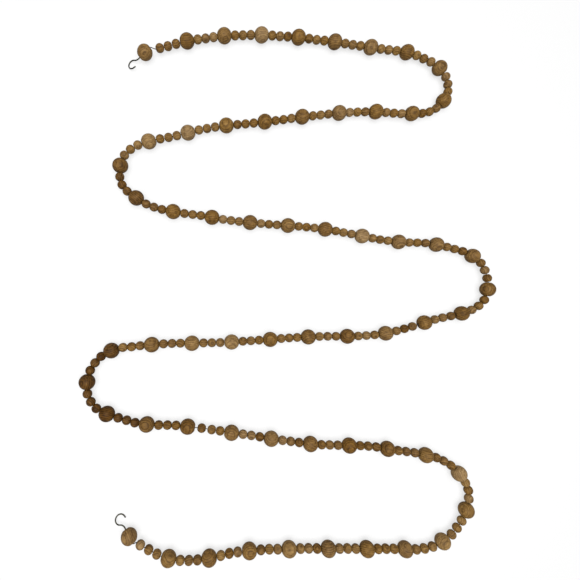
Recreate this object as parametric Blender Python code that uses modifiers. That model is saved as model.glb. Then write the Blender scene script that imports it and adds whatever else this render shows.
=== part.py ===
"""Wood bead garland: turned beads on one string, a wire hook at each end, laid out in six rows.

Units are metres and +Z is up. The table is at z = 0 and the origin is on it, under the middle
of the layout. Row 1 is at +Y. One repeat of the strand is a large bead and three small ones.
The beads between the two end beads are joined at their necks into short runs of the strand.
"""
import math
from collections import namedtuple

import bpy
import numpy as np

NAME = "wood_bead_garland"
MM = 0.001

# Beads: balls cut flat at both ends of the hole. The rings are those of the outside between
# the two faces, as shares of the ball's radius.
Ring = namedtuple("Ring", "along across")
Kind = namedtuple("Kind", "radius half_length rings")
LARGE = Kind(0.0100, 0.0093, [Ring(-0.72, 0.72), Ring(-0.29, 1.0), Ring(0.29, 1.0), Ring(0.72, 0.72)])
SMALL = Kind(0.0059, 0.0053, [Ring(-0.42, 0.96), Ring(0.42, 0.96)])
SMALL_SAG = (0.0006, 0.0010, 0.0006)   # how far the three small beads of a repeat hang down
SMALL_PER_REPEAT = len(SMALL_SAG)
REPEAT = SMALL_PER_REPEAT + 1          # beads in one repeat of the strand
BORE_RADIUS = 0.00125        # hole of an end bead, which the hook and the string share
NECK_RADIUS = 0.0026         # where two beads of a run meet

# String and hook wire
STRING_RADIUS = 0.0006
WIRE_RADIUS = 0.00085
BORE_DEPTH = 0.0064          # how far the hook and the string reach into an end bead
HOOK_SHANK = 0.0112          # straight wire, from the end bead's middle
HOOK_NECK_RADIUS = 0.0071
HOOK_NECK_TURN = math.radians(60)
HOOK_BOW_RADIUS = 0.0060
HOOK_BOW_TURN = math.radians(230)
HOOK_TIP = 0.0030            # straight wire after the bow

# Gaps
SEAT_GAP = 0.0003            # between two solids that touch on the real thing
BARE_STRING = 0.0012         # a gap between beads wider than this is shown as bare string

# Sides of the modelled rounds
TUBE_RESOLUTION = 2          # gives eight sides
TUBE_SIDES = 2 * (TUBE_RESOLUTION + 2)
HALF_SIDE = math.pi / TUBE_SIDES
BEAD_STEPS = 16
BEAD_ARC_STEPS = 6
NECK_STEPS = 3
BOW_STEPS = 12
STRING_STEPS = 5
ROUTE_STEPS = 16
MERGE_DISTANCE = 0.00001

# Where the route runs, in millimetres from the middle of the layout. A whole number is a large
# bead, which sits there. A half is midway to the next one, and only shapes the turn.
RoutePoint = namedtuple("RoutePoint", "large_bead x_mm y_mm")
ROUTE = [RoutePoint(*row) for row in (
    (0, -199, 311), (1, -144, 329), (6, 107, 332), (7.5, 183, 320),
    (8, 205, 307), (8.5, 217, 284), (9.5, 190, 245), (10, 164, 241),
    (11, 113, 242), (14, -40, 223), (16, -142, 205), (18, -229, 159),
    (18.5, -226, 133), (19, -208, 117), (21, -110, 93), (24, 41, 79),
    (26, 142, 63), (27, 195, 60), (28.5, 264, 25), (29, 267, -1),
    (31, 176, -46), (32, 122, -60), (34, 17, -64), (36, -84, -70),
    (38.5, -212, -75), (39, -237, -79), (40.5, -262, -143), (41.5, -219, -167),
    (43, -140, -177), (44, -84, -186), (46, 19, -203), (48, 122, -212),
    (50, 220, -247), (50.5, 233, -270), (51, 229, -295), (52.5, 170, -343),
    (53, 144, -342), (57, -61, -335), (59, -163, -340), (60, -212, -311),
)]

# Places where bare string shows: the gap after a large bead (0) or after its first, second
# or third small bead (1, 2, 3)
LoosePlace = namedtuple("LoosePlace", "large_bead place bare_mm")
LOOSE_PLACES = [LoosePlace(*row) for row in (
    (0, 0, 6.0),
    (31, 0, 2.8),
    (43, 0, 3.3),
    (43, 1, 2.4),
    (59, 2, 1.6),
    (59, 3, 3.2),
)]

# The strand in rows and turns, from the first to the last large bead of each. A row has two
# repeats in a run, and a turn, where the strand bends more, has one.
Section = namedtuple("Section", "name first last repeats_per_run")
SECTIONS = [Section(*row) for row in (
    ("row_1", 1, 7, 2),
    ("turn_1", 8, 9, 1),
    ("row_2", 10, 17, 2),
    ("turn_2", 18, 19, 1),
    ("row_3", 20, 27, 2),
    ("turn_3", 28, 30, 1),
    ("row_4", 31, 38, 2),
    ("turn_4", 39, 41, 1),
    ("row_5", 42, 49, 2),
    ("turn_5", 50, 52, 1),
    ("row_6", 53, 59, 2),
)]

# How the hook leaves each end bead: its heading on the table, and its turn about the bead's hole
End = namedtuple("End", "name bead heading_deg roll_deg")
ENDS = [End("start", 0, 218, 201), End("end", -1, 125, 13)]

Colour = namedtuple("Colour", "red green blue roughness metallic")
WOOD = Colour(0.24, 0.14, 0.05, 0.6, 0.0)
STRING = Colour(0.05, 0.03, 0.02, 0.9, 0.0)
WIRE = Colour(0.12, 0.12, 0.10, 0.35, 1.0)

Bead = namedtuple("Bead", "kind back front")


def clear_scene():
    for thing in list(bpy.data.objects):
        bpy.data.objects.remove(thing, do_unlink=True)


def make_material(name, colour):
    material = bpy.data.materials.new(name)
    material.use_nodes = True
    shader = material.node_tree.nodes["Principled BSDF"]
    shader.inputs["Base Color"].default_value = (colour.red, colour.green, colour.blue, 1.0)
    shader.inputs["Roughness"].default_value = colour.roughness
    shader.inputs["Metallic"].default_value = colour.metallic
    return material


def place_object(name, data, parent, collection):
    thing = bpy.data.objects.new(name, data)
    thing.parent = parent
    collection.objects.link(thing)
    return thing


def make_tube(name, points, radii, colour, parent, collection):
    """A closed tube through points. Its sides lie at the radii, flat side down."""
    curve = bpy.data.curves.new(name, "CURVE")
    curve.dimensions = "3D"
    curve.twist_mode = "Z_UP"
    curve.bevel_depth = max(radii) / math.cos(HALF_SIDE)
    curve.bevel_resolution = TUBE_RESOLUTION
    curve.use_fill_caps = True
    spline = curve.splines.new("POLY")
    spline.points.add(len(points) - 1)
    for place, centre, radius in zip(spline.points, points, radii):
        place.co = (*centre, 1.0)
        place.radius = radius / max(radii)
        place.tilt = HALF_SIDE
    curve.materials.append(make_material(name, colour))
    return place_object(name, curve, parent, collection)


def route_line():
    """The route as a smooth line: places on it, their distances, and the distance at each point.

    Each span is a cubic. Its direction at a route point is the mean of the two chords' there,
    the nearer point counting more, and at the route's ends it mirrors the next point's in the
    chord. It leaves and arrives as strongly as a circle's arc between the two directions does.
    """
    points = np.array([(p.x_mm, p.y_mm) for p in ROUTE]) * MM
    chords = np.diff(points, axis=0)
    spans = np.linalg.norm(chords, axis=1)
    slopes = chords / spans[:, None]
    ways = np.empty_like(points)
    ways[1:-1] = slopes[:-1] * spans[1:, None] + slopes[1:] * spans[:-1, None]
    ways[1:-1] /= np.linalg.norm(ways[1:-1], axis=1)[:, None]
    ways[0] = 2 * np.dot(ways[1], slopes[0]) * slopes[0] - ways[1]
    ways[-1] = 2 * np.dot(ways[-2], slopes[-1]) * slopes[-1] - ways[-2]
    half_turn = np.sqrt((1 + np.sum(ways[:-1] * ways[1:], axis=1)) / 2)
    strength = (2 * spans / (1 + half_turn))[:, None]
    leave = (ways[:-1] * strength)[:, None]
    arrive = (ways[1:] * strength)[:, None]
    s = np.linspace(0.0, 1.0, ROUTE_STEPS, endpoint=False)[None, :, None]
    line = (points[:-1, None] * (2 * s ** 3 - 3 * s ** 2 + 1)
            + points[1:, None] * (3 * s ** 2 - 2 * s ** 3)
            + leave * (s ** 3 - 2 * s ** 2 + s)
            + arrive * (s ** 3 - s ** 2))
    line = np.vstack([line.reshape(-1, 2), points[-1:]])
    steps = np.linalg.norm(np.diff(line, axis=0), axis=1)
    distance = np.concatenate([[0.0], np.cumsum(steps)])
    return line, distance, distance[::ROUTE_STEPS]


def space_beads(at_point):
    """Every bead in order, as its kind, how far along the route its middle is, and its height.

    Each repeat gets an equal share of its span. What its beads leave free is bare string: the
    stated gaps first, and the rest shared evenly between the other places where beads meet.
    """
    seats = [(p.large_bead, at) for p, at in zip(ROUTE, at_point) if p.large_bead % 1 == 0]
    numbers, at_number = zip(*seats)
    middles = np.interp(range(numbers[-1] + 1), numbers, at_number)
    loose = {(place.large_bead, place.place): place.bare_mm * MM for place in LOOSE_PLACES}
    filled = 2 * LARGE.half_length + 2 * SMALL_PER_REPEAT * SMALL.half_length
    rows = []
    for number, middle in enumerate(middles[:-1]):
        rows.append((LARGE, middle, LARGE.radius))
        stated = {gap: loose[number, gap] for gap in range(REPEAT) if (number, gap) in loose}
        slack = middles[number + 1] - middle - filled - sum(stated.values())
        shared = slack / (REPEAT - len(stated))
        reach = middle + LARGE.half_length
        for gap, sag in enumerate(SMALL_SAG):
            reach += stated.get(gap, shared) + SMALL.half_length
            rows.append((SMALL, reach, LARGE.radius - sag))
            reach += SMALL.half_length
    rows.append((LARGE, middles[-1], LARGE.radius))
    return zip(*rows)


def thread_beads():
    """Every bead in order, with the middles of its two faces.

    A bead is first laid with its middle on the route, along the chord under it. It then turns
    towards the points midway between its own faces and its neighbours', and shifts sideways to
    lie between them, as beads on a string do.
    """
    line, distance, at_point = route_line()
    kinds, at, height = space_beads(at_point)
    half = np.array([kind.half_length for kind in kinds])[:, None]

    def on_route(where):
        where = np.ravel(where)
        return np.column_stack([np.interp(where, distance, line[:, 0]),
                                np.interp(where, distance, line[:, 1]), height])

    at = np.array(at)[:, None]
    middle = on_route(at)
    axis = unit(on_route(at + half) - on_route(at - half))
    back = middle - axis * half
    front = middle + axis * half
    meets = np.vstack([back[:1], (front[:-1] + back[1:]) / 2, front[-1:]])
    axis = unit(np.diff(meets, axis=0))
    shift = (meets[:-1] + meets[1:]) / 2 - middle
    shift -= axis * np.sum(shift * axis, axis=1, keepdims=True)
    shift[:, 2] = 0.0
    middle += shift
    return [Bead(*row) for row in zip(kinds, middle - axis * half, middle + axis * half)]


def unit(vectors):
    return vectors / np.linalg.norm(vectors, axis=-1, keepdims=True)


def bead_axis(bead):
    return unit(bead.front - bead.back)


def run_end(face, inward, neighbour_face, neighbour_outward):
    """Where a run's end face lies: midway to its neighbour, short of it by half the seat gap and
    by what the bend between them needs, or on the bead's own face where bare string shows."""
    if np.dot(face - neighbour_face, inward) >= BARE_STRING:
        return face
    bend = math.acos(min(1.0, float(np.dot(inward, neighbour_outward))))
    return (face + neighbour_face) / 2 + inward * (SEAT_GAP / 2 + NECK_RADIUS * math.tan(bend / 2))


def run_outline(beads, first, last):
    """Centres and radii of the rings of one run, from bead first to bead last."""
    centres = []
    radii = []

    def add(centre, radius):
        centres.append(centre)
        radii.append(radius)

    for number in range(first, last + 1):
        bead = beads[number]
        axis = bead_axis(bead)
        middle = (bead.back + bead.front) / 2
        if number == first:
            before = beads[number - 1]
            add(run_end(bead.back, axis, before.front, bead_axis(before)), NECK_RADIUS)
        for ring in bead.kind.rings:
            add(middle + axis * ring.along * bead.kind.radius, ring.across * bead.kind.radius)
        after = beads[number + 1]
        gap = after.back - bead.front
        if number == last:
            add(run_end(bead.front, -axis, after.back, -bead_axis(after)), NECK_RADIUS)
        elif np.dot(gap, axis) < BARE_STRING:
            add((bead.front + after.back) / 2, NECK_RADIUS)
        else:
            add(bead.front, NECK_RADIUS)
            add(bead.front + unit(gap) * SEAT_GAP, STRING_RADIUS)
            add(after.back - unit(gap) * SEAT_GAP, STRING_RADIUS)
            add(after.back, NECK_RADIUS)
    return centres, radii


def make_runs(beads, parent, collection):
    """The strand between the end beads, cut into runs by rows and turns."""
    for section in SECTIONS:
        starts = range(section.first, section.last + 1, section.repeats_per_run)
        for count, large in enumerate(starts, 1):
            following = min(large + section.repeats_per_run, section.last + 1)
            first = 1 if large == 1 else large * REPEAT
            centres, radii = run_outline(beads, first, following * REPEAT - 1)
            make_tube(f"{section.name}_run_{count}", centres, radii, WOOD, parent, collection)


def hook_line():
    """The hook's wire as distances (out of the bead, sideways): shank, neck, bow and tip."""
    neck = np.linspace(0.0, HOOK_NECK_TURN, NECK_STEPS + 1)
    out = HOOK_SHANK + HOOK_NECK_RADIUS * np.sin(neck)
    side = HOOK_NECK_RADIUS * (1 - np.cos(neck))
    bow = HOOK_NECK_TURN - np.linspace(0.0, HOOK_BOW_TURN, BOW_STEPS + 1)[1:]
    bow_out = out[-1] + HOOK_BOW_RADIUS * (math.sin(HOOK_NECK_TURN) - np.sin(bow))
    bow_side = side[-1] + HOOK_BOW_RADIUS * (np.cos(bow) - math.cos(HOOK_NECK_TURN))
    tip_out = bow_out[-1] + HOOK_TIP * math.cos(bow[-1])
    tip_side = bow_side[-1] + HOOK_TIP * math.sin(bow[-1])
    inside = LARGE.half_length - BORE_DEPTH
    return (np.concatenate([[inside, LARGE.half_length], out, bow_out, [tip_out]]),
            np.concatenate([[0.0, 0.0], side, bow_side, [tip_side]]))


def hook_tip_down(out, rise):
    """The angle by which an end bead rolls until the first point of its hook meets the table."""
    beyond = out > HOOK_SHANK
    reach = np.hypot(out[beyond], rise[beyond])
    drop = LARGE.radius - WIRE_RADIUS / math.cos(HALF_SIDE)
    angles = np.arcsin(drop / reach) + np.arctan2(rise[beyond], out[beyond])
    return float(np.min(angles))


def make_end_bead(name, parent, collection):
    """A large bead turned about its hole: outside from top to bottom, then up the hole."""
    face = math.acos(LARGE.half_length / LARGE.radius)
    arc = np.linspace(face, math.pi - face, BEAD_ARC_STEPS + 1)
    outside = [(LARGE.radius * math.sin(a), 0.0, LARGE.radius * math.cos(a)) for a in arc]
    hole = [(BORE_RADIUS, 0.0, -LARGE.half_length), (BORE_RADIUS, 0.0, LARGE.half_length)]
    profile = outside + hole
    mesh = bpy.data.meshes.new(name)
    mesh.from_pydata(profile, [(i, (i + 1) % len(profile)) for i in range(len(profile))], [])
    mesh.materials.append(make_material(name, WOOD))
    bead = place_object(name, mesh, parent, collection)
    turning = bead.modifiers.new("Turning", "SCREW")
    turning.angle = 2 * math.pi
    turning.steps = BEAD_STEPS
    turning.render_steps = BEAD_STEPS
    turning.use_merge_vertices = True
    turning.merge_threshold = MERGE_DISTANCE
    turning.use_smooth_shade = True
    return bead


def make_end(end, beads, parent, collection):
    """An end bead with its hook, tipped so that the hook rests on the table, and its string."""
    out, side = hook_line()
    roll = math.radians(end.roll_deg)
    tip = hook_tip_down(out, side * math.sin(roll))
    heading = math.radians(end.heading_deg)
    place = ROUTE[end.bead]
    middle = np.array([place.x_mm * MM, place.y_mm * MM, LARGE.radius])

    frame = place_object(f"frame_{end.name}", None, parent, collection)
    frame.location = middle
    frame.rotation_euler = (0.0, math.pi / 2 + tip, heading)
    make_end_bead(f"end_bead_{end.name}", frame, collection)
    wire = np.column_stack([-side * math.sin(roll), side * math.cos(roll), out])
    make_tube(f"hook_{end.name}", wire, [WIRE_RADIUS] * len(wire), WIRE, frame, collection)

    inward = -np.array([math.cos(heading) * math.cos(tip),
                        math.sin(heading) * math.cos(tip), -math.sin(tip)])
    mouth = middle + inward * LARGE.half_length
    if end.bead == 0:
        neighbour = beads[1]
        face, axis = neighbour.back, bead_axis(neighbour)
    else:
        neighbour = beads[end.bead - 1]
        face, axis = neighbour.front, -bead_axis(neighbour)
    target = face - axis * SEAT_GAP
    span = np.linalg.norm(target - mouth)
    s = np.linspace(0.0, 1.0, STRING_STEPS + 1)[:, None]
    line = (mouth * (2 * s ** 3 - 3 * s ** 2 + 1) + target * (3 * s ** 2 - 2 * s ** 3)
            + inward * span * (s ** 3 - 2 * s ** 2 + s) + axis * span * (s ** 3 - s ** 2))
    line = np.vstack([mouth - inward * BORE_DEPTH, line])
    make_tube(f"string_{end.name}", line, [STRING_RADIUS] * len(line), STRING, parent, collection)


def main():
    clear_scene()
    collection = bpy.data.collections.new(NAME)
    bpy.context.scene.collection.children.link(collection)
    garland = place_object("garland", None, None, collection)
    beads = thread_beads()
    make_runs(beads, garland, collection)
    for end in ENDS:
        make_end(end, beads, garland, collection)


main()
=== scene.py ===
"""Looks of a wood bead garland, made around its packed solids: turned beads on one string, a wire
hook at each end, a pale floor, a soft lamp and the camera.

The file is laid out as a Blender add-on and is run as a script. Lengths are in metres and +Z is
up, in the packed model's own frame, with the table at z = 0. The strand follows the route of the
solids. One repeat is a large bead and three small ones. The beads of each run are one mesh,
which takes the place of that run's solid.
"""
import math
from collections import namedtuple

import bpy
import numpy as np
from bpy.props import FloatProperty, FloatVectorProperty, IntProperty, PointerProperty
from bpy.types import Operator, Panel, PropertyGroup
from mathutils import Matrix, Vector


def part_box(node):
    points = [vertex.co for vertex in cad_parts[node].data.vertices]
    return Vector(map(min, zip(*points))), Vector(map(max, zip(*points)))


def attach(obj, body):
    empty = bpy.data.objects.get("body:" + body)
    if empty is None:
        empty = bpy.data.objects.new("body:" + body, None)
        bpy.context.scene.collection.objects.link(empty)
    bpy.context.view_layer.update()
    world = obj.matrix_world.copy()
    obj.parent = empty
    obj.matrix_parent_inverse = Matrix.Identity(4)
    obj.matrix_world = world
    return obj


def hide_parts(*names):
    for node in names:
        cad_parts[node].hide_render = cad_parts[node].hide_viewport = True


bl_info = {
    "name": "Wood Bead Garland",
    "version": (1, 0, 0),
    "blender": (4, 5, 0),
    "location": "View3D > Sidebar > Garland",
    "description": "Makes the beads, string and hooks of a wood bead garland, and its stage",
    "category": "Add Mesh",
}

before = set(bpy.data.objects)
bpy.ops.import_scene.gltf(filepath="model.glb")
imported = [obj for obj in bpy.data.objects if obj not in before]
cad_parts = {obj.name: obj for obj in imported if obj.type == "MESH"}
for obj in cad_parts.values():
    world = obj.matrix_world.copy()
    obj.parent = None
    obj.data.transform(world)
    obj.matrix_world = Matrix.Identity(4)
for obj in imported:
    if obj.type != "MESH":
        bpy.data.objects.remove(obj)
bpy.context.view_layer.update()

# A run lies on the table, so it is as high as its large beads
LARGE_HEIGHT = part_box("row_1_run_1")[1].z

# Where the route runs. A whole number is a large bead, which sits there. A half is midway to
# the next one, and only shapes the turn.
RoutePoint = namedtuple("RoutePoint", "large_bead x y")
ROUTE = [RoutePoint(*row) for row in (
    (0, -0.199, 0.311), (1, -0.144, 0.329), (6, 0.107, 0.332), (7.5, 0.183, 0.320),
    (8, 0.205, 0.307), (8.5, 0.217, 0.284), (9.5, 0.190, 0.245), (10, 0.164, 0.241),
    (11, 0.113, 0.242), (14, -0.040, 0.223), (16, -0.142, 0.205), (18, -0.229, 0.159),
    (18.5, -0.226, 0.133), (19, -0.208, 0.117), (21, -0.110, 0.093), (24, 0.041, 0.079),
    (26, 0.142, 0.063), (27, 0.195, 0.060), (28.5, 0.264, 0.025), (29, 0.267, -0.001),
    (31, 0.176, -0.046), (32, 0.122, -0.060), (34, 0.017, -0.064), (36, -0.084, -0.070),
    (38.5, -0.212, -0.075), (39, -0.237, -0.079), (40.5, -0.262, -0.143), (41.5, -0.219, -0.167),
    (43, -0.140, -0.177), (44, -0.084, -0.186), (46, 0.019, -0.203), (48, 0.122, -0.212),
    (50, 0.220, -0.247), (50.5, 0.233, -0.270), (51, 0.229, -0.295), (52.5, 0.170, -0.343),
    (53, 0.144, -0.342), (57, -0.061, -0.335), (59, -0.163, -0.340), (60, -0.212, -0.311),
)]
ROUTE_STEPS = 16

# Places where bare string shows: the gap after a large bead (0) or after its first, second
# or third small bead (1, 2, 3)
LoosePlace = namedtuple("LoosePlace", "large_bead place bare")
LOOSE_PLACES = [LoosePlace(*row) for row in (
    (0, 0, 0.0060), (31, 0, 0.0028), (43, 0, 0.0033),
    (43, 1, 0.0024), (59, 2, 0.0016), (59, 3, 0.0032),
)]

# How far the three small beads of a repeat hang below the middles of the large ones
SMALL_SAG = (0.0006, 0.0010, 0.0006)
SMALL_PER_REPEAT = len(SMALL_SAG)
REPEAT = SMALL_PER_REPEAT + 1

# The strand in rows and turns, from the first to the last large bead of each, how many repeats
# one run of it has, and how much darker than elsewhere its beads are made by a deeper stain:
# this is painted shade, darkest at the two turns on the left
Section = namedtuple("Section", "name first last repeats_per_run stain")
SECTIONS = [Section(*row) for row in (
    ("row_1", 1, 7, 2, 0.0),
    ("turn_1", 8, 9, 1, 0.3),
    ("row_2", 10, 17, 2, -0.1),
    ("turn_2", 18, 19, 1, 1.6),
    ("row_3", 20, 27, 2, 0.1),
    ("turn_3", 28, 30, 1, 0.5),
    ("row_4", 31, 38, 2, 0.3),
    ("turn_4", 39, 41, 1, 3.5),
    ("row_5", 42, 49, 2, 0.7),
    ("turn_5", 50, 52, 1, -0.4),
    ("row_6", 53, 59, 2, 0.0),
)]

# How the hook leaves each end bead: its heading on the table, and its turn about the bead's hole
End = namedtuple("End", "name bead heading roll")
ENDS = [End("start", 0, math.radians(218), math.radians(201)),
        End("end", -1, math.radians(125), math.radians(13))]

# How many sides and steps the round pieces have
LARGE_SIDES = 28
LARGE_BALL_STEPS = 9
SMALL_SIDES = 20
SMALL_BALL_STEPS = 7
CORNER_STEPS = 2
STRING_SIDES = 12
HOOK_SIDES = 16
NECK_STEPS = 7
BOW_STEPS = 24
CUT_STEPS = 4

# How far a bead's arc stops short of its flat face, to leave room for the rounded rim
CORNER_TURN = math.radians(4)

# How far hand work strays from true, at the most
BEAD_TILT = math.radians(2.0)
BEAD_SHIFT = 0.00012
BEAD_UNDERSIZE = 0.012
BEAD_OVERSIZE = 0.004
BEAD_OVAL = 0.005
BEAD_LOBES = 0.003

# How the stain differs from bead to bead: the spread of its depth on large and on small beads,
# how much deeper it is on small ones, the spread of its warmth, and how much warmer it is for
# each step of its own depth
LARGE_STAIN = 0.75
SMALL_STAIN = 0.6
SMALL_DEEPER = 0.15
BEAD_WARMTH = 0.7
WARMTH_OF_STAIN = 1.0

# Where in its log a bead was cut: how far from the pith, how far from the log's middle, and how
# far its hole slopes across the grain
NEAREST_PITH = 0.012
FARTHEST_PITH = 0.045
HALF_LOG = 0.5
GRAIN_SLOPE = 0.15

UP = np.array([0.0, 0.0, 1.0])

# What is known of every bead, what was drawn for it, and an end bead's middle and directions
Strand = namedtuple("Strand", "large half middle axis")
Draws = namedtuple("Draws", "spin swell oval lobes lobe_turn pith slope log stain warmth")
EndFrame = namedtuple("EndFrame", "middle out left up")


def unit(vectors):
    """The same directions, each of length 1."""
    return vectors / np.linalg.norm(vectors, axis=-1, keepdims=True)


def distances(line):
    """How far along the line each of its points is."""
    return np.concatenate([[0.0], np.cumsum(np.linalg.norm(np.diff(line, axis=0), axis=1))])


def full_turn(sides):
    """The angles of evenly spaced points round a circle."""
    return math.tau * np.arange(sides) / sides


def stacked(*parts):
    """The parts spread to one shape, and beside each other along a new last axis."""
    return np.stack(np.broadcast_arrays(*parts), axis=-1)


class GARLAND_PG_beads(PropertyGroup):
    """Sizes of the turned beads."""

    large_radius: FloatProperty(
        name="Large radius", description="Radius of a large bead's ball",
        default=LARGE_HEIGHT / 2, min=0.001, precision=5, unit="LENGTH")
    large_half_length: FloatProperty(
        name="Large half length", description="From a large bead's middle to its flat face",
        default=0.0093, min=0.001, precision=5, unit="LENGTH")
    small_radius: FloatProperty(
        name="Small radius", description="Radius of a small bead's ball",
        default=0.0059, min=0.001, precision=5, unit="LENGTH")
    small_half_length: FloatProperty(
        name="Small half length", description="From a small bead's middle to its flat face",
        default=0.0053, min=0.001, precision=5, unit="LENGTH")
    hole_radius: FloatProperty(
        name="Hole radius", description="Radius of the hole drilled through every bead",
        default=0.00125, min=0.0002, precision=5, unit="LENGTH")
    hole_edge: FloatProperty(
        name="Hole edge", description="How far the edge of the hole is rounded over",
        default=0.0004, min=0.0, precision=5, unit="LENGTH")
    face_edge: FloatProperty(
        name="Face edge", description="How far the rim of the flat face is rounded over",
        default=0.0005, min=0.0, precision=5, unit="LENGTH")
    seed: IntProperty(
        name="Seed", description="Picks another set of uneven beads", default=11, min=0)


class GARLAND_PG_wood(PropertyGroup):
    """Colours and relief of the stained wood."""

    dark: FloatVectorProperty(
        name="Dark", description="Dense late wood and pores under the stain",
        default=(0.052, 0.0275, 0.0081), min=0.0, max=1.0, subtype="COLOR")
    middle: FloatVectorProperty(
        name="Middle", description="Most of the wood",
        default=(0.116, 0.065, 0.0193), min=0.0, max=1.0, subtype="COLOR")
    light: FloatVectorProperty(
        name="Light", description="Early wood that took the least stain",
        default=(0.179, 0.109, 0.036), min=0.0, max=1.0, subtype="COLOR")
    warm: FloatVectorProperty(
        name="Warm", description="Tint of the warmest beads",
        default=(1.04, 0.99, 0.75), min=0.0, max=2.0, subtype="XYZ")
    grey: FloatVectorProperty(
        name="Grey", description="Tint of the greyest beads",
        default=(0.97, 1.00, 1.25), min=0.0, max=2.0, subtype="XYZ")
    ring_spacing: FloatProperty(
        name="Ring spacing", description="Width of one year's growth",
        default=0.0023, min=0.0002, precision=5, unit="LENGTH")
    roughness: FloatProperty(
        name="Roughness", description="Roughness of the rubbed finish",
        default=0.52, min=0.0, max=1.0, subtype="FACTOR")
    relief: FloatProperty(
        name="Relief", description="Depth of pores and tool marks",
        default=0.00006, min=0.0, precision=6, unit="LENGTH")


class GARLAND_PG_string(PropertyGroup):
    """The twisted string that the beads are threaded on."""

    radius: FloatProperty(
        name="Radius", description="Half the thickness of the string",
        default=0.0006, min=0.0001, precision=5, unit="LENGTH")
    groove: FloatProperty(
        name="Groove", description="Depth of the grooves between plies, as a share of the radius",
        default=0.22, min=0.0, max=0.9, subtype="FACTOR")
    twist_length: FloatProperty(
        name="Twist length", description="Length of one full turn of the plies",
        default=0.0038, min=0.0005, precision=5, unit="LENGTH")
    reach: FloatProperty(
        name="Reach", description="How far the string goes into an end bead",
        default=0.0064, min=0.0, precision=5, unit="LENGTH")
    colour: FloatVectorProperty(
        name="Colour", description="Colour of the waxed string",
        default=(0.0165, 0.0105, 0.0067), min=0.0, max=1.0, subtype="COLOR")


class GARLAND_PG_hooks(PropertyGroup):
    """The bent wire hooks."""

    wire_radius: FloatProperty(
        name="Wire radius", description="Half the thickness of the wire",
        default=0.00085, min=0.0001, precision=5, unit="LENGTH")
    reach: FloatProperty(
        name="Reach", description="How far the hook goes into its bead",
        default=0.0064, min=0.0, precision=5, unit="LENGTH")
    shank: FloatProperty(
        name="Shank", description="Straight wire, from the end bead's middle",
        default=0.0112, min=0.001, precision=5, unit="LENGTH")
    neck_radius: FloatProperty(
        name="Neck radius", description="Bend radius between shank and bow",
        default=0.0071, min=0.001, precision=5, unit="LENGTH")
    neck_turn: FloatProperty(
        name="Neck turn", description="How far the wire turns aside at the neck",
        default=math.radians(60), min=0.0, max=math.pi, subtype="ANGLE")
    bow_radius: FloatProperty(
        name="Bow radius", description="Radius of the round bow, at the wire's middle",
        default=0.0060, min=0.001, precision=5, unit="LENGTH")
    bow_turn: FloatProperty(
        name="Bow turn", description="How far round the bow goes",
        default=math.radians(230), min=0.0, max=math.tau, subtype="ANGLE")
    tip: FloatProperty(
        name="Tip", description="Straight wire after the bow",
        default=0.0030, min=0.0, precision=5, unit="LENGTH")
    colour: FloatVectorProperty(
        name="Colour", description="Colour of the dull steel",
        default=(0.030, 0.029, 0.021), min=0.0, max=1.0, subtype="COLOR")


class GARLAND_PG_stage(PropertyGroup):
    """Floor, light and camera."""

    floor_colour: FloatVectorProperty(
        name="Floor", description="Colour of the pale floor",
        default=(0.13, 0.13, 0.13), min=0.0, max=1.0, subtype="COLOR")
    floor_glow: FloatProperty(
        name="Floor glow", description="Light that the floor gives from below, as a light table",
        default=0.69, min=0.0)
    floor_flat: FloatProperty(
        name="Flat floor", description="How far the floor is level before it curves up",
        default=2.5, min=0.5, unit="LENGTH")
    lamp_height: FloatProperty(
        name="Lamp height", description="Height of the lamp over the table",
        default=1.6, min=0.5, unit="LENGTH")
    lamp_size: FloatProperty(
        name="Lamp size", description="Width of the square lamp",
        default=1.9, min=0.1, unit="LENGTH")
    lamp_power: FloatProperty(
        name="Lamp power", description="Power of the lamp",
        default=90.0, min=0.0, unit="POWER")
    sky_strength: FloatProperty(
        name="Sky", description="How bright the room past the floor looks",
        default=0.74, min=0.0)
    camera_place: FloatVectorProperty(
        name="Camera place", description="Where the camera is",
        default=(-0.10004, -0.01165, 0.49767), subtype="TRANSLATION", unit="LENGTH")
    camera_turn: FloatVectorProperty(
        name="Camera turn", description="How the camera is turned from straight down",
        default=(math.radians(2.272), math.radians(-3.837), 0.0), subtype="EULER")
    lens: FloatProperty(
        name="Lens", description="Focal length on a 36 mm sensor, in millimetres",
        default=23.158, min=5.0)
    shift: FloatVectorProperty(
        name="Shift", description="How far the view is shifted off the lens's middle",
        size=2, default=(0.07857, -0.01324))


GROUPS = {
    "garland_beads": GARLAND_PG_beads,
    "garland_wood": GARLAND_PG_wood,
    "garland_string": GARLAND_PG_string,
    "garland_hooks": GARLAND_PG_hooks,
    "garland_stage": GARLAND_PG_stage,
}


def route_line():
    """The route as a smooth line: places on it, their distances, and the distance at each point.

    Each span is a cubic. Its direction at a route point is the mean of the two chords' there,
    the nearer point counting more, and at the route's ends it mirrors the next point's in the
    chord. It leaves and arrives as strongly as a circle's arc between the two directions does.
    """
    points = np.array([(p.x, p.y) for p in ROUTE])
    chords = np.diff(points, axis=0)
    spans = np.linalg.norm(chords, axis=1)
    slopes = chords / spans[:, None]
    ways = np.empty_like(points)
    ways[1:-1] = unit(slopes[:-1] * spans[1:, None] + slopes[1:] * spans[:-1, None])
    ways[0] = 2 * np.dot(ways[1], slopes[0]) * slopes[0] - ways[1]
    ways[-1] = 2 * np.dot(ways[-2], slopes[-1]) * slopes[-1] - ways[-2]
    half_turn = np.sqrt((1 + np.sum(ways[:-1] * ways[1:], axis=1)) / 2)
    strength = (2 * spans / (1 + half_turn))[:, None]
    line = smooth_spans(points, ways[:-1] * strength, ways[1:] * strength, ROUTE_STEPS)
    distance = distances(line)
    return line, distance, distance[::ROUTE_STEPS]


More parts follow.
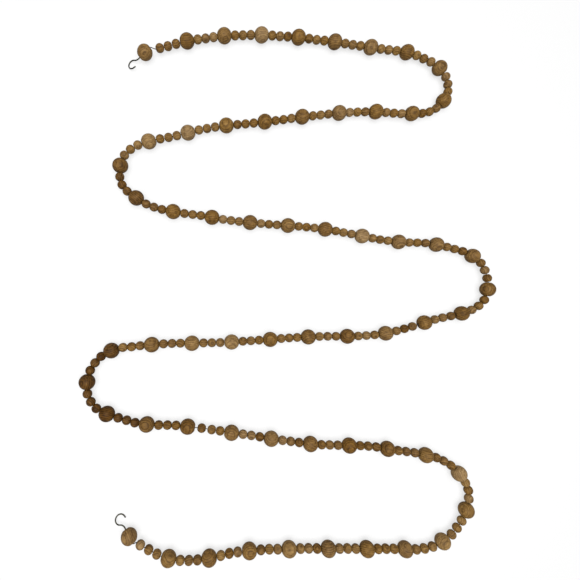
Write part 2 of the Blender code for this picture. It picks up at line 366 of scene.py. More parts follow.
def smooth_spans(points, leave, arrive, steps):
    """A line through points, each span a cubic in even steps that leaves and arrives as told:
    the sum of start, leave, end and arrive, each weighted by a cubic of the share passed."""
    s = np.linspace(0.0, 1.0, steps, endpoint=False)[None, :, None]
    line = (points[:-1, None] * (2 * s ** 3 - 3 * s ** 2 + 1)
            + leave[:, None] * (s ** 3 - 2 * s ** 2 + s)
            + points[1:, None] * (3 * s ** 2 - 2 * s ** 3)
            + arrive[:, None] * (s ** 3 - s ** 2))
    return np.vstack([line.reshape(-1, points.shape[1]), points[-1:]])


def space_beads(beads, at_point):
    """How far along the route each bead's middle is, in order.

    Each repeat gets an equal share of its span. What its beads leave free is bare string: the
    stated gaps first, and the rest shared evenly between the other places where beads meet.
    """
    seats = [(p.large_bead, at) for p, at in zip(ROUTE, at_point) if p.large_bead % 1 == 0]
    numbers, at_number = zip(*seats)
    large_at = np.interp(np.arange(numbers[-1] + 1), numbers, at_number)
    gaps = np.full((len(large_at) - 1, REPEAT), np.nan)
    for place in LOOSE_PLACES:
        gaps[place.large_bead, place.place] = place.bare
    filled = 2 * (beads.large_half_length + SMALL_PER_REPEAT * beads.small_half_length)
    free = np.diff(large_at) - filled - np.nansum(gaps, axis=1)
    shared = free / np.isnan(gaps).sum(axis=1)
    gaps = np.where(np.isnan(gaps), shared[:, None], gaps)
    small_steps = beads.small_half_length * (2 * np.arange(SMALL_PER_REPEAT) + 1)
    small_at = (large_at[:-1, None] + beads.large_half_length
                + np.cumsum(gaps[:, :-1], axis=1) + small_steps)
    return np.append(np.column_stack([large_at[:-1], small_at]).ravel(), large_at[-1])


def lay_strand(beads, hooks):
    """Every bead's kind, half length, middle and axis, in order.

    A bead is first laid with its middle on the route, along the chord under it. It then turns
    towards the points midway between its own faces and its neighbours', and shifts sideways to
    lie between them. The two end beads are then tipped with their hooks, and the others get
    the small tilts and shifts of loosely drilled beads.
    """
    line, distance, at_point = route_line()
    at = space_beads(beads, at_point)[:, None]
    order = np.arange(len(at)) % REPEAT
    large = order == 0
    half = np.where(large, beads.large_half_length, beads.small_half_length)[:, None]
    height = beads.large_radius - np.array((0.0,) + SMALL_SAG)[order]

    def on_route(where):
        where = where.ravel()
        return np.column_stack([np.interp(where, distance, line[:, 0]),
                                np.interp(where, distance, line[:, 1]), height])

    middle = on_route(at)
    axis = unit(on_route(at + half) - on_route(at - half))
    back = middle - axis * half
    front = middle + axis * half
    meets = np.vstack([back[:1], (front[:-1] + back[1:]) / 2, front[-1:]])
    axis = unit(np.diff(meets, axis=0))
    shift = (meets[:-1] + meets[1:]) / 2 - middle
    shift -= axis * np.sum(shift * axis, axis=1, keepdims=True)
    shift[:, 2] = 0.0
    middle += shift

    rng = np.random.default_rng(beads.seed)
    side, up = across(axis)
    tilt = rng.uniform(-BEAD_TILT, BEAD_TILT, (2, len(at), 1))
    shift = rng.uniform(-BEAD_SHIFT, BEAD_SHIFT, (2, len(at), 1))
    axis = unit(axis + side * tilt[0] + up * tilt[1])
    middle += side * shift[0] + up * shift[1]
    for end in ENDS:
        tipped = end_frame(end, beads, hooks)
        middle[end.bead] = tipped.middle
        axis[end.bead] = -tipped.out if end.bead == 0 else tipped.out
    return Strand(large, half.ravel(), middle, axis)


def across(axis):
    """Two directions across each axis, the first one level."""
    side = unit(np.cross(UP, axis))
    return side, np.cross(axis, side)


def hook_line(beads, hooks):
    """The hook's wire as distances (out of the bead, sideways): a straight shank, an arc that
    turns it aside, a round bow that turns the other way, and a straight tip."""
    neck = np.linspace(0.0, hooks.neck_turn, NECK_STEPS + 1)
    out = hooks.shank + hooks.neck_radius * np.sin(neck)
    side = hooks.neck_radius * (1 - np.cos(neck))
    bow = hooks.neck_turn - np.linspace(0.0, hooks.bow_turn, BOW_STEPS + 1)[1:]
    bow_out = out[-1] + hooks.bow_radius * (math.sin(hooks.neck_turn) - np.sin(bow))
    bow_side = side[-1] + hooks.bow_radius * (np.cos(bow) - math.cos(hooks.neck_turn))
    tip_out = bow_out[-1] + hooks.tip * math.cos(bow[-1])
    tip_side = bow_side[-1] + hooks.tip * math.sin(bow[-1])
    inside = beads.large_half_length - hooks.reach
    return (np.concatenate([[inside, beads.large_half_length], out, bow_out, [tip_out]]),
            np.concatenate([[0.0, 0.0], side, bow_side, [tip_side]]))


def end_frame(end, beads, hooks):
    """An end bead's middle and directions, rolled until its hook's first point meets the table."""
    out, side = hook_line(beads, hooks)
    rise = side * math.sin(end.roll)
    beyond = out > hooks.shank
    drop = beads.large_radius - hooks.wire_radius
    reach = np.hypot(out[beyond], rise[beyond])
    tip = np.min(np.arcsin(drop / reach) + np.arctan2(rise[beyond], out[beyond]))
    level = np.array([math.cos(end.heading), math.sin(end.heading), 0.0])
    place = ROUTE[end.bead]
    return EndFrame(np.array([place.x, place.y, beads.large_radius]),
                    level * math.cos(tip) - UP * math.sin(tip),
                    np.cross(UP, level),
                    level * math.sin(tip) + UP * math.cos(tip))


def draw_beads(beads, large):
    """What differs from bead to bead: its shape, the wood that it was cut from and its colour.

    Its section's painted shade adds to its own stain's depth. The deeper its own, the warmer it
    is.
    """
    rng = np.random.default_rng(beads.seed + 1)
    count = len(large)
    # Each section's painted shade, given as a deeper stain, eased from one section to the next
    reaches = [(section.first, section.last + 1 - 1 / REPEAT) for section in SECTIONS]
    section_painted_shade = np.interp(np.arange(count) / REPEAT, np.ravel(reaches),
                              np.repeat([section.stain for section in SECTIONS], 2))
    own_stain = (np.where(large, LARGE_STAIN, SMALL_STAIN) * rng.normal(0.0, 1.0, count)
                 + np.where(large, 0.0, SMALL_DEEPER))
    pith = rng.uniform(NEAREST_PITH, FARTHEST_PITH, count)
    pith_turn = rng.uniform(0.0, math.tau, count)
    return Draws(
        spin=rng.uniform(0.0, math.tau, count),
        swell=rng.uniform(-BEAD_UNDERSIZE, BEAD_OVERSIZE, count),
        oval=rng.uniform(0.0, BEAD_OVAL, count),
        lobes=rng.uniform(0.0, BEAD_LOBES, count),
        lobe_turn=rng.uniform(0.0, math.tau, count),
        pith=np.column_stack([pith * np.cos(pith_turn), pith * np.sin(pith_turn)]),
        slope=rng.uniform(-GRAIN_SLOPE, GRAIN_SLOPE, (count, 2)),
        log=rng.uniform(-HALF_LOG, HALF_LOG, count),
        # The bead's own real stain plus its section's painted shade, as one depth
        stain=section_painted_shade + own_stain,
        warmth=WARMTH_OF_STAIN * own_stain + BEAD_WARMTH * rng.normal(0.0, 1.0, count),
    )


def round_corner(before, corner, after):
    """Points round a corner: the parabola (1-t)^2 * before + 2t(1-t) * corner + t^2 * after."""
    t = np.linspace(0.0, 1.0, CORNER_STEPS + 1)[:, None]
    return ((1 - t) ** 2 * np.array(before) + 2 * t * (1 - t) * np.array(corner)
            + t ** 2 * np.array(after))


def bead_profile(beads, large):
    """A bead's closed profile as (along, out) rows, and its rim's radius. The profile is a ball's
    arc from the widest ring to near the face, a softened rim, the flat face, the rounded edge of
    the hole and the hole's middle, then the same mirrored back to the widest ring."""
    radius = beads.large_radius if large else beads.small_radius
    half = beads.large_half_length if large else beads.small_half_length
    steps = LARGE_BALL_STEPS if large else SMALL_BALL_STEPS
    face = math.acos(half / radius)
    rim = radius * math.sin(face)
    turn = np.linspace(math.pi / 2, face + CORNER_TURN, steps)
    ball = radius * np.column_stack([np.cos(turn), np.sin(turn)])
    corner = round_corner(ball[-1], (half, rim), (half, rim - beads.face_edge))[1:]
    mouth = round_corner((half, beads.hole_radius + beads.hole_edge), (half, beads.hole_radius),
                         (half - beads.hole_edge, beads.hole_radius))
    front = np.vstack([ball, corner, mouth, [(0.0, beads.hole_radius)]])
    back = front[-2:0:-1] * (-1, 1)
    return np.vstack([front, back]), rim


def turn_beads(beads, strand, draws, picked, large):
    """Points, faces, grain and look of like beads, each a profile turned about its own axis.

    At an angle a the profile's point (along, out) lies at middle + axis * along
    + (side * cos a + up * sin a) * out. Out is stretched by 1 + swell + oval * cos 2a
    + lobes * cos 3a, less so towards the hole. A large bead is then set down on the table.
    """
    profile, rim = bead_profile(beads, large)
    sides = LARGE_SIDES if large else SMALL_SIDES
    radius = beads.large_radius if large else beads.small_radius
    hole = beads.hole_radius
    turn = full_turn(sides)
    around = turn[None, :] + draws.lobe_turn[picked, None]
    stretch = (draws.swell[picked, None] + draws.oval[picked, None] * np.cos(2 * around)
               + draws.lobes[picked, None] * np.cos(3 * around))
    along, out = profile.T
    share = (out - hole) / (radius - hole)
    wide = out[None, :, None] * (1 + share[None, :, None] * stretch[:, None, :])
    angle = (turn[None, :] + draws.spin[picked, None])[:, None, :]
    local = stacked(wide * np.cos(angle), wide * np.sin(angle), along[None, :, None])
    basis = np.stack([*across(strand.axis[picked]), strand.axis[picked]], axis=1)
    points = np.einsum("bpsi,bij->bpsj", local, basis) + strand.middle[picked, None, None, :]
    if large:
        points[..., 2] -= points[..., 2].min(axis=(1, 2), keepdims=True)

    grain = local.copy()
    grain[..., :2] += draws.pith[picked, None, None, :]
    grain[..., :2] += local[..., 2:] * draws.slope[picked, None, None, :]
    grain[..., 2] += draws.log[picked, None, None]
    end = np.clip((rim - out) / (rim - hole), 0.0, 1.0)
    look = stacked(end[None, :, None], draws.stain[picked, None, None],
                   draws.warmth[picked, None, None])
    look = np.broadcast_to(look, grain.shape)
    ring = len(profile) * sides
    faces = grid_faces(len(profile), sides, closed=True)
    faces = (faces[None] + ring * np.arange(len(picked))[:, None, None]).reshape(-1, 4)
    return points.reshape(-1, 3), faces, grain.reshape(-1, 3), look.reshape(-1, 3)


def grid_faces(rings, sides, closed=False, wraps=True):
    """The quads between neighbouring rings of points. The last ring meets the first one if the
    grid is closed, and the last point of a ring meets its first if it wraps round."""
    ring = np.arange(rings if closed else rings - 1)[:, None]
    side = np.arange(sides if wraps else sides - 1)[None, :]
    after = (ring + 1) % rings
    beside = (side + 1) % sides
    quads = stacked(ring * sides + side, ring * sides + beside,
                    after * sides + beside, after * sides + side)
    return quads.reshape(-1, 4)


def bead_mesh(beads, strand, draws, picked):
    """The vertices, faces and attributes of one run, its large beads first."""
    kinds = []
    count = 0
    for large in (True, False):
        like = picked[strand.large[picked] == large]
        if len(like):
            points, faces, grain, look = turn_beads(beads, strand, draws, like, large)
            kinds.append((points, faces + count, grain, look))
            count += len(points)
    points, faces, grain, look = map(np.vstack, zip(*kinds))
    return points, faces.tolist(), {"grain": grain, "look": look}


def tube(line, radii, side_way, sides):
    """A closed tube: at each point of the line a ring of points at the given radii, turned so
    that its first point faces side_way as nearly as it can, and a flat cap at each end."""
    ways = unit(np.gradient(line, axis=0))
    side = unit(side_way - ways * np.sum(side_way * ways, axis=1, keepdims=True))
    up = np.cross(ways, side)
    turn = full_turn(sides)
    points = (line[:, None, :] + side[:, None, :] * (radii * np.cos(turn))[..., None]
              + up[:, None, :] * (radii * np.sin(turn))[..., None])
    faces = grid_faces(len(line), sides).tolist()
    last = len(line) * sides
    faces.append(list(range(sides))[::-1])
    faces.append(list(range(last - sides, last)))
    return points.reshape(-1, 3), faces


def place_object(name, data):
    """A new object at the origin, in place of an older one of that name."""
    old = bpy.data.objects.get(name)
    if old:
        bpy.data.objects.remove(old, do_unlink=True)
    placed = bpy.data.objects.new(name, data)
    bpy.context.scene.collection.objects.link(placed)
    return placed


def make_piece(name, vertices, faces, attributes, material):
    """A smooth mesh object, with a vector at each vertex for each attribute."""
    mesh = bpy.data.meshes.new(name)
    mesh.from_pydata(vertices.tolist(), [], faces)
    for key, values in attributes.items():
        layer = mesh.attributes.new(key, "FLOAT_VECTOR", "POINT")
        layer.data.foreach_set("vector", values.astype(np.float32).ravel())
    mesh.materials.append(material)
    mesh.shade_smooth()
    if mesh.validate():
        raise RuntimeError(f"{name} had faulty faces")
    return place_object(name, mesh)


def settle_piece(piece, slot, *nodes):
    """The piece rides on the garland's one body and takes the place of these solids."""
    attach(piece, "root")
    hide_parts(*nodes)


class Value:
    """What a node gives out. Arithmetic on it adds Math nodes, with a number on either side."""

    def __init__(self, finish, socket):
        self.finish = finish
        self.socket = socket

    def maths(self, operation, first, second):
        return self.finish.node("ShaderNodeMath", {"operation": operation}, {0: first, 1: second})

    def __add__(self, other):
        return self.maths("ADD", self, other)

    def __radd__(self, other):
        return self.maths("ADD", other, self)

    def __sub__(self, other):
        return self.maths("SUBTRACT", self, other)

    def __rsub__(self, other):
        return self.maths("SUBTRACT", other, self)

    def __mul__(self, other):
        return self.maths("MULTIPLY", self, other)

    def __rmul__(self, other):
        return self.maths("MULTIPLY", other, self)

    def __truediv__(self, other):
        return self.maths("DIVIDE", self, other)

    def __pow__(self, other):
        return self.maths("POWER", self, other)


class Finish:
    """A material as it is made: its Principled shader and the nodes that feed it."""

    def __init__(self, name, **constants):
        self.material = bpy.data.materials.new(name)
        self.material.use_nodes = True
        self.tree = self.material.node_tree
        self.shader = self.tree.nodes["Principled BSDF"]
        for socket, value in constants.items():
            self.feed(self.shader.inputs[socket.replace("_", " ")], value)

    def feed(self, socket, value):
        if isinstance(value, Value):
            self.tree.links.new(value.socket, socket)
        else:
            socket.default_value = value

    def node(self, kind, settings, sockets, output=0):
        """Adds a node: first its settings, then the values or links of its sockets."""
        made = self.tree.nodes.new(kind)
        for setting, value in settings.items():
            if setting == "stops":
                ramp = made.color_ramp.elements
                while len(ramp) < len(value):
                    ramp.new(0.5)
                for element, (position, colour) in zip(ramp, value):
                    element.position = position
                    element.color = (*colour, 1.0)
            else:
                setattr(made, setting, value)
        for socket, value in sockets.items():
            self.feed(made.inputs[socket], value)
        return Value(self, made.outputs[output])

    def attribute(self, name):
        return self.node("ShaderNodeAttribute", {"attribute_name": name}, {}, "Vector")

    def parts(self, vector):
        """The three numbers of a vector."""
        split = self.node("ShaderNodeSeparateXYZ", {}, {0: vector})
        return [Value(self, socket) for socket in split.socket.node.outputs]

    def stretched(self, vector, scale):
        return self.node("ShaderNodeMapping", {}, {"Vector": vector, "Scale": scale})

    def noise(self, vector, scale, detail=2.0):
        """Noise from 0 to 1, with about 0.5 as its mean."""
        return self.node("ShaderNodeTexNoise", {},
                         {"Vector": vector, "Scale": scale, "Detail": detail})

    def marks(self, grain, mark):
        """The noise of one kind of mark in the wood, drawn out along the log's fibres."""
        return self.noise(self.stretched(grain, (1, 1, mark.along)), mark.fineness, mark.detail)

    def ramp(self, value, stops):
        return self.node("ShaderNodeValToRGB", {"stops": stops}, {0: value})

    def between(self, value, low, high):
        """0 below low, 1 above high, and smooth between them."""
        return self.node("ShaderNodeMapRange", {"interpolation_type": "SMOOTHSTEP"},
                         {"Value": value, "From Min": low, "From Max": high})

    def mixed(self, share, first, second, blend="MIX"):
        return self.node("ShaderNodeMix", {"data_type": "RGBA", "blend_type": blend},
                         {0: share, 6: first, 7: second}, 2)

    def bump(self, height, depth):
        return self.node("ShaderNodeBump", {}, {"Height": height, "Distance": depth})

    def set(self, **values):
        """Feeds the shader's own sockets, such as Base_Color."""
        for socket, value in values.items():
            self.feed(self.shader.inputs[socket.replace("_", " ")], value)
        return self.material


def opaque(colour):
    """A colour as the four numbers that a socket takes."""
    return (*colour, 1.0)


def shaded(colour, share):
    """A colour made darker or brighter, as a share of itself."""
    return tuple(share * part for part in colour)


# The marks in the wood, each a noise: how far it is drawn out along the fibres (the smaller,
# the longer), how fine and how detailed it is, and how much it tells in the shade, in the
# relief and in the roughness
Mark = namedtuple("Mark", "along fineness detail shade relief roughness", defaults=(0.0,) * 3)
FIBRES = Mark(0.05, 2400.0, 3.0, shade=0.65, relief=0.5, roughness=0.3)
STREAKS = Mark(0.07, 620.0, 2.0, shade=0.9)
BLOTCHES = Mark(1.0, 170.0, 2.0, shade=0.8)
PORES = Mark(0.11, 3100.0, 1.0, shade=0.38, relief=0.9, roughness=0.15)
RING_MARKS = Mark(0.25, 150.0, 2.0)
TOOL_MARKS = Mark(1.0, 2600.0, 1.0, relief=0.35)

# The noise at which a pore begins, and at which it is fully there
PORE_EDGE = (0.62, 0.70)

# How far the year rings stray from round, in metres, how steeply late wood darkens through a
# year, the share of the year at which it ends, and how much it tells in the shade
RING_WANDER = 0.0022
LATE_WOOD_POWER = 3.0
LATE_WOOD_END = 0.9
LATE_WOOD_SHADE = 0.5

# How much darker the end grain is at the hole, and how far from the rim to the hole it begins
END_GRAIN = 0.62
END_GRAIN_START = 0.25

# The shades of the dark, the middle and the light colour, how far the warmth goes either way,
# and how much a step of stain, with the sections' painted shade in it, adds to the power that
# the colour is raised to
SHADES = (0.12, 0.5, 0.88)
WARMEST = 2.5
STAIN_POWER = 0.1

# How fast the string's fibres and the wire's streaks change along the piece and about it, how
# deep they are in metres, and how rough the piece is
STRING_FIBRES = (900.0, 6.0, 0.0)
STRING_RELIEF = 0.00008
STRING_ROUGHNESS = 0.62
WIRE_STREAKS = (60.0, 9.0, 0.0)
WIRE_RELIEF = 0.00002
WIRE_ROUGHNESS = 0.30

# Tarnish in patches: how fine they are, the noise at which one begins and is fully there, and
# how much it tells in the colour and in the roughness
TARNISH_FINENESS = 420.0
TARNISH_EDGE = (0.42, 0.66)
TARNISH_SHADE = 0.7
TARNISH_ROUGHNESS = 0.22


def wood_finish(wood):
    """Stained, rubbed wood. The grain attribute is a place in the log, with the pith at x = y = 0
    and the fibres along z, and the look attribute holds how near the hole a point is, how deep
    the bead's stain is, with its section's painted shade added in, and how warm its wood. The
    deeper that is, the higher the power that the wood's colour is raised to, so the beads that
    are darker are also less grey."""
    finish = Finish("stained_wood", Specular_IOR_Level=0.06)
    grain = finish.attribute("grain")
    near_hole, stain, warmth = finish.parts(finish.attribute("look"))

    wander = (finish.marks(grain, RING_MARKS) - 0.5) * RING_WANDER
    across_log = finish.stretched(grain, (1, 1, 0))
    radius = finish.node("ShaderNodeVectorMath", {"operation": "LENGTH"}, {0: across_log}, 1)
    year = (radius + wander) / wood.ring_spacing
    in_year = finish.node("ShaderNodeMath", {"operation": "FRACT"}, {0: year})
    late_wood = in_year ** LATE_WOOD_POWER * (1.0 - finish.between(in_year, LATE_WOOD_END, 1.0))

    fibres = finish.marks(grain, FIBRES)
    streaks = finish.marks(grain, STREAKS)
    blotches = finish.marks(grain, BLOTCHES)
    pores = finish.between(finish.marks(grain, PORES), *PORE_EDGE)

    shade = (0.5 + (fibres - 0.5) * FIBRES.shade + (streaks - 0.5) * STREAKS.shade
             + (blotches - 0.5) * BLOTCHES.shade - late_wood * LATE_WOOD_SHADE)
    colour = finish.ramp(shade, list(zip(SHADES, (wood.dark, wood.middle, wood.light))))
    warm_share = finish.between(warmth, -WARMEST, WARMEST)
    tint = finish.mixed(warm_share, opaque(wood.grey), opaque(wood.warm))
    colour = finish.mixed(1.0, colour, tint, "MULTIPLY")
    # Raised to a higher power for deeper real stain and for the section's painted shade
    colour = finish.node("ShaderNodeGamma", {}, {0: colour, 1: 1.0 + stain * STAIN_POWER})
    end_grain = END_GRAIN * finish.between(near_hole, END_GRAIN_START, 1.0)
    kept = (1.0 - end_grain) * (1.0 - pores * PORES.shade)
    colour = finish.mixed(1.0, colour, kept, "MULTIPLY")

    roughness = wood.roughness + (fibres - 0.5) * FIBRES.roughness + pores * PORES.roughness
    tool_marks = finish.marks(finish.stretched(grain, (0, 0, 1)), TOOL_MARKS)
    height = fibres * FIBRES.relief + tool_marks * TOOL_MARKS.relief - pores * PORES.relief
    return finish.set(Base_Color=colour, Roughness=roughness,
                      Normal=finish.bump(height, wood.relief))


def string_finish(string):
    """Waxed twine: fibres run along the plies, with painted shade in the grooves between them and
    painted light on their crowns. The laid attribute holds the distance along, the turn about
    the string, and the height of a ply."""
    finish = Finish("waxed_string", Specular_IOR_Level=0.3)
    laid = finish.attribute("laid")
    ply = finish.parts(laid)[2]
    fibres = finish.noise(finish.stretched(laid, STRING_FIBRES), 1.0)
    # Painted shade in the grooves and painted light on the crowns of the plies, with real fibre
    # flecks
    shade = 0.25 + fibres * 0.35 + ply * 0.4
    # The grooves' painted shade at 0.45 of the colour, and the crowns' painted light at 1.9 times
    # it
    colour = finish.ramp(shade, [(0.2, shaded(string.colour, 0.45)), (0.6, string.colour),
                                 (1.0, shaded(string.colour, 1.9))])
    return finish.set(Base_Color=colour, Roughness=STRING_ROUGHNESS + (fibres - 0.5) * 0.3,
                      Normal=finish.bump(fibres + ply, STRING_RELIEF))


def wire_finish(hooks):
    """Dull drawn steel: faint streaks along the wire, and tarnish in soft patches."""
    finish = Finish("drawn_wire", Metallic=1.0)
    drawn = finish.attribute("drawn")
    streaks = finish.noise(finish.stretched(drawn, WIRE_STREAKS), 1.0)
    places = finish.node("ShaderNodeTexCoord", {}, {}, "Object")
    tarnish = finish.between(finish.noise(places, TARNISH_FINENESS, 3.0), *TARNISH_EDGE)
    colour = finish.ramp(streaks, [(0.25, hooks.colour), (0.8, shaded(hooks.colour, 1.5))])
    colour = finish.mixed(tarnish * TARNISH_SHADE, colour, opaque(shaded(hooks.colour, 0.4)))
    roughness = WIRE_ROUGHNESS + tarnish * TARNISH_ROUGHNESS + (streaks - 0.5) * 0.12
    return finish.set(Base_Color=colour, Roughness=roughness,
                      Normal=finish.bump(streaks, WIRE_RELIEF))


class GARLAND_OT_set_stage(Operator):
    """Pale floor that curves up all round, one soft lamp overhead, and the camera."""

    bl_idname = "garland.set_stage"
    bl_label = "Set the stage"

    FLOOR_STEPS = 96
    FLOOR_REACH = 5.0
    FLOOR_CURVE = 0.32
    NEAREST_SEEN = 0.01

    def execute(self, context):
        stage = context.scene.garland_stage
        self.make_floor(stage)
        self.make_light(context, stage)
        self.make_camera(context, stage)
        context.scene.view_settings.view_transform = "Standard"
        return {"FINISHED"}

    def make_floor(self, stage):
        """A square grid. Its height is the curve times the squared distance past the flat part."""
        line = np.linspace(-self.FLOOR_REACH, self.FLOOR_REACH, self.FLOOR_STEPS + 1)
        x, y = np.meshgrid(line, line)
        past = np.maximum(np.hypot(x, y) - stage.floor_flat, 0.0)
        vertices = stacked(x, y, self.FLOOR_CURVE * past ** 2).reshape(-1, 3)
        faces = grid_faces(len(line), len(line), wraps=False)
        finish = Finish("pale_floor", Base_Color=opaque(stage.floor_colour), Roughness=0.9,
                        Specular_IOR_Level=0.1, Emission_Color=opaque((1.0, 1.0, 1.0)),
                        Emission_Strength=stage.floor_glow)
        make_piece("pale_floor", vertices, faces.tolist(), {}, finish.material)

    def make_light(self, context, stage):
        """A square lamp over the camera, and a pale room that lights nothing."""
        lamp = bpy.data.lights.new("soft_lamp", "AREA")
        lamp.shape = "SQUARE"
        lamp.size = stage.lamp_size
        lamp.energy = stage.lamp_power
        holder = place_object("soft_lamp", lamp)
        holder.location = (stage.camera_place[0], stage.camera_place[1], stage.lamp_height)
        world = bpy.data.worlds.new("pale_room")
        world.use_nodes = True
        sky = world.node_tree.nodes["Background"].inputs
        sky["Color"].default_value = (1.0, 1.0, 1.0, 1.0)
        sky["Strength"].default_value = stage.sky_strength
        context.scene.world = world
        world.cycles_visibility.diffuse = False
        world.cycles_visibility.glossy = False

    def make_camera(self, context, stage):
        """The camera, placed and turned as the photo was taken."""
        lens = bpy.data.cameras.new("camera")
        lens.lens = stage.lens
        lens.shift_x, lens.shift_y = stage.shift
        lens.clip_start = self.NEAREST_SEEN
        camera = place_object("camera", lens)
        camera.location = stage.camera_place
        camera.rotation_euler = stage.camera_turn
        context.scene.camera = camera


class GARLAND_OT_turn_beads(Operator):
    """The strand's beads, one mesh for each run, each bead turned, drilled and a little uneven."""

    bl_idname = "garland.turn_beads"
    bl_label = "Turn the beads"

    def execute(self, context):
        beads = context.scene.garland_beads
        strand = lay_strand(beads, context.scene.garland_hooks)
        draws = draw_beads(beads, strand.large)
        material = wood_finish(context.scene.garland_wood)
        runs = self.share_out(len(strand.large))
        threaded = sum(len(picked) for picked in runs.values())
        if threaded != len(strand.large):
            raise RuntimeError(f"{threaded} beads are in runs, of {len(strand.large)}")
        for node, picked in runs.items():
            vertices, faces, attributes = bead_mesh(beads, strand, draws, picked)
            piece = make_piece(f"{node}_turned", vertices, faces, attributes, material)
            settle_piece(piece, "wood", node)
        return {"FINISHED"}

    def share_out(self, count):
        """The beads of each solid: the two end beads, and the runs of every section. The small
        beads that follow the first end bead are in the first run."""
        runs = {f"end_bead_{end.name}": np.array([end.bead % count]) for end in ENDS}
        for section in SECTIONS:
            starts = range(section.first, section.last + 1, section.repeats_per_run)
            for number, large in enumerate(starts, 1):
                following = min(large + section.repeats_per_run, section.last + 1)
                first = 1 if large == 1 else large * REPEAT
                runs[f"{section.name}_run_{number}"] = np.arange(first, following * REPEAT)
        return runs


class GARLAND_OT_thread_string(Operator):
    """The string through all the beads, from end bead to end bead."""

    bl_idname = "garland.thread_string"
    bl_label = "Thread the string"

    PLIES = 3
    SPAN_STEPS = 12

    # How close its points lie where it shows, how far they go on so into the holes, and how long
    # a gap is whose direction counts as much as a bead's
    FINE_STEP = 0.0003
    MARGIN = 0.0008
    TAUT_GAP = 0.0015

    def execute(self, context):
        string = context.scene.garland_string
        strand = lay_strand(context.scene.garland_beads, context.scene.garland_hooks)
        line, at, turned = self.lay(string, strand)
        turn = full_turn(STRING_SIDES)
        ply = np.abs(np.cos(self.PLIES * turn / 2))
        radii = string.radius * (1 - string.groove * (1 - ply))
        vertices, faces = self.twisted(line, radii, turned)
        laid = stacked(at[:, None], turn[None, :], ply[None, :])
        piece = make_piece("bead_string", vertices, faces, {"laid": laid.reshape(-1, 3)},
                           string_finish(string))
        settle_piece(piece, "string", "string_start", "string_end")
        return {"FINISHED"}

    def lay(self, string, strand):
        """The string's line, the distance at each point, and how far its plies have turned.

        It is a smooth line through the middles and the faces of all the beads. Between two
        beads it turns from their axes towards the straight line from face to face, the more so
        the longer that is. Its points lie close together where it shows between two beads,
        where it also twists, and one more is at each bead's middle.
        """
        reach = strand.axis * strand.half[:, None]
        knots = np.stack([strand.middle - reach, strand.middle, strand.middle + reach], axis=1)
        gap = knots[1:, 0] - knots[:-1, 2]
        meet = unit(strand.axis[:-1] + strand.axis[1:] + gap / self.TAUT_GAP)
        ways = np.stack([np.vstack([strand.axis[:1], meet]), strand.axis,
                         np.vstack([meet, strand.axis[-1:]])], axis=1)
        knots = knots.reshape(-1, 3)
        ways = ways.reshape(-1, 3)
        spans = np.linalg.norm(np.diff(knots, axis=0), axis=1)[:, None]
        fine = smooth_spans(knots, ways[:-1] * spans, ways[1:] * spans, self.SPAN_STEPS)
        distance = distances(fine)
        at_knot = distance[::self.SPAN_STEPS].reshape(-1, 3)

        first = at_knot[0, 2] - string.reach
        last = at_knot[-1, 0] + string.reach
        places = [np.array([first]), at_knot[1:-1, 1], np.array([last])]
        for leaves, enters in zip(at_knot[:-1, 2], at_knot[1:, 0]):
            low = leaves - self.MARGIN
            high = enters + self.MARGIN
            steps = math.ceil((high - low) / self.FINE_STEP)
            places.append(np.linspace(low, high, steps + 1))
        at = np.sort(np.concatenate(places))
        inside = np.diff(at) > 2 * self.FINE_STEP
        turned = np.where(inside, 0.0, np.diff(at)) * math.tau / string.twist_length
        line = np.column_stack([np.interp(at, distance, fine[:, k]) for k in range(3)])
        return line, at, np.concatenate([[0.0], np.cumsum(turned)])

    def twisted(self, line, radii, turned):
        """The tube with its plies turned about the line: the way that a ring's first point faces
        turns from level towards up by the angle reached."""
        ways = unit(np.gradient(line, axis=0))
        side, up = across(ways)
        facing = side * np.cos(turned)[:, None] + up * np.sin(turned)[:, None]
        return tube(line, radii[None, :], facing, STRING_SIDES)


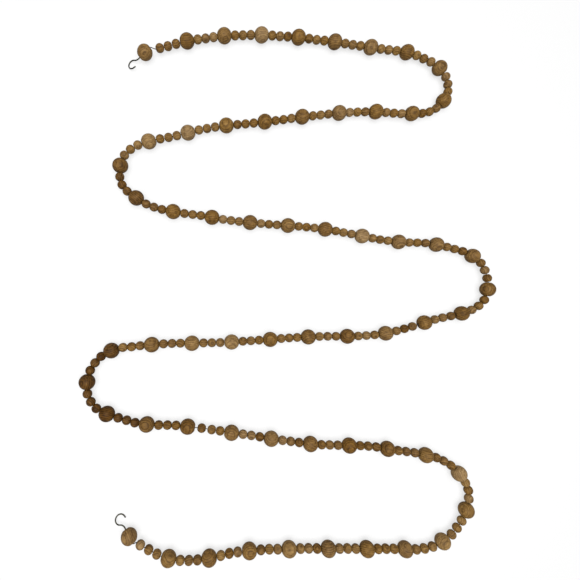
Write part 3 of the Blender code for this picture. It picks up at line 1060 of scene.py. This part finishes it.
class GARLAND_OT_bend_hooks(Operator):
    """The two wire hooks, each with a straight shank in its bead and a round bow."""

    bl_idname = "garland.bend_hooks"
    bl_label = "Bend the hooks"

    def execute(self, context):
        beads = context.scene.garland_beads
        hooks = context.scene.garland_hooks
        material = wire_finish(hooks)
        out, side = hook_line(beads, hooks)
        for end in ENDS:
            tipped = end_frame(end, beads, hooks)
            aside = tipped.left * math.cos(end.roll) + tipped.up * math.sin(end.roll)
            flat = np.cross(tipped.out, aside)
            line = tipped.middle + out[:, None] * tipped.out + side[:, None] * aside
            line, radii = self.cut_ends(line, hooks.wire_radius)
            vertices, faces = tube(line, radii[:, None], flat, HOOK_SIDES)
            turn = full_turn(HOOK_SIDES)[None, :]
            drawn = stacked(distances(line)[:, None] / hooks.bow_radius, np.cos(turn),
                            np.sin(turn))
            piece = make_piece(f"hook_{end.name}_wire", vertices, faces,
                               {"drawn": drawn.reshape(-1, 3)}, material)
            settle_piece(piece, "wire", f"hook_{end.name}")
        return {"FINISHED"}

    def cut_ends(self, line, radius):
        """Adds rings that round over both cut ends: at an angle t they lie radius / 3 * sin t
        further in and are radius * (2 + sin t) / 3 wide."""
        t = np.linspace(0.0, math.pi / 2, CUT_STEPS + 1)
        reach = radius / 3 * np.sin(t)[:, None]
        share = radius * (2 + np.sin(t)) / 3
        head = line[0] + unit(line[1] - line[0]) * reach
        tail = line[-1] + unit(line[-2] - line[-1]) * reach
        rounded = np.vstack([head, line[1:-1], tail[::-1]])
        radii = np.concatenate([share, np.full(len(line) - 2, radius), share[::-1]])
        return rounded, radii


class GARLAND_PT_sidebar(Panel):
    """Sizes and colours of the garland, and a button for each group of pieces."""

    bl_idname = "GARLAND_PT_sidebar"
    bl_label = "Garland"
    bl_space_type = "VIEW_3D"
    bl_region_type = "UI"
    bl_category = "Garland"

    def draw(self, context):
        for group, kind in GROUPS.items():
            box = self.layout.box()
            box.label(text=kind.__doc__)
            for setting in kind.__annotations__:
                box.prop(getattr(context.scene, group), setting)
        for operator in OPERATORS:
            self.layout.operator(operator.bl_idname)


OPERATORS = (GARLAND_OT_set_stage, GARLAND_OT_turn_beads, GARLAND_OT_thread_string,
             GARLAND_OT_bend_hooks)
CLASSES = (*GROUPS.values(), *OPERATORS, GARLAND_PT_sidebar)


def register():
    for kind in CLASSES:
        bpy.utils.register_class(kind)
    for group, kind in GROUPS.items():
        setattr(bpy.types.Scene, group, PointerProperty(type=kind))


def unregister():
    for group in GROUPS:
        delattr(bpy.types.Scene, group)
    for kind in reversed(CLASSES):
        bpy.utils.unregister_class(kind)


def main():
    register()
    bpy.ops.garland.set_stage()
    bpy.ops.garland.turn_beads()
    bpy.ops.garland.thread_string()
    bpy.ops.garland.bend_hooks()


if __name__ == "__main__":
    main()
